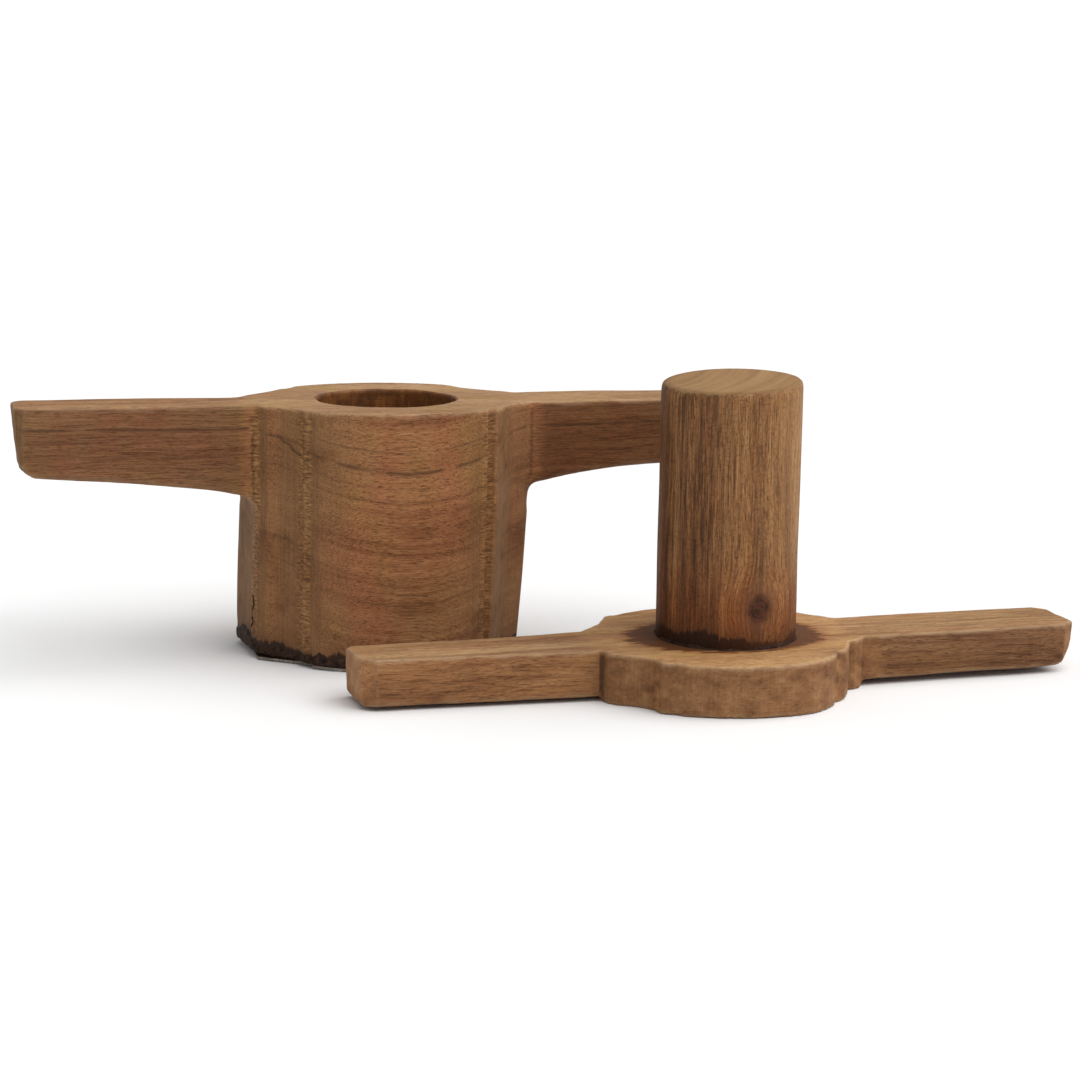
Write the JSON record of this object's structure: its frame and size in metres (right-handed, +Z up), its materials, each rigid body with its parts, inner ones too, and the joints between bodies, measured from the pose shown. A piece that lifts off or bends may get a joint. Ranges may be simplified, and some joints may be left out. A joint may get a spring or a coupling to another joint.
{
  "type": "dough press",
  "caption": "Two-handled wooden dough press: a bored barrel with wing grips over a perforated die plate, and a loose plunger with a turned piston.",
  "frame": {"origin": "on the barrel's bore axis, in the plane of the die plate's underside, which is the surface both pieces stand on", "axes": "+Z up along the barrel's bore and out of its mouth, X along the barrel's grips, -Y towards the plunger that stands in front"},
  "size_m": [0.3678, 0.1704, 0.1068],
  "materials": {
    "barrel_wood": "bare hand-carved wood, oiled by use",
    "head_wood": "bare hand-carved wood with a dark stain round the piston",
    "piston_wood": "bare turned wood with dark oily streaks",
    "plate_metal": "thin sheet, dull and lightly scratched",
    "tack_metal": "filed flush"
  },
  "bodies": {
    "barrel": {"barrel": "barrel_wood", "die_plate": "plate_metal", "plate_tack_01": "tack_metal", "plate_tack_02": "tack_metal", "plate_tack_03": "tack_metal", "plate_tack_04": "tack_metal", "plate_tack_05": "tack_metal", "plate_tack_06": "tack_metal", "plate_tack_07": "tack_metal", "plate_tack_08": "tack_metal", "plate_tack_09": "tack_metal", "plate_tack_10": "tack_metal", "plate_tack_11": "tack_metal", "plate_tack_12": "tack_metal"},
    "plunger": {"plunger_head": "head_wood", "piston": "piston_wood"}
  },
  "joints": [
    {"name": "plunger_lift", "type": "slide", "parent": "barrel", "child": "plunger", "axis": [0, 0, 1], "range_m": [0, 0.12]}
  ]
}
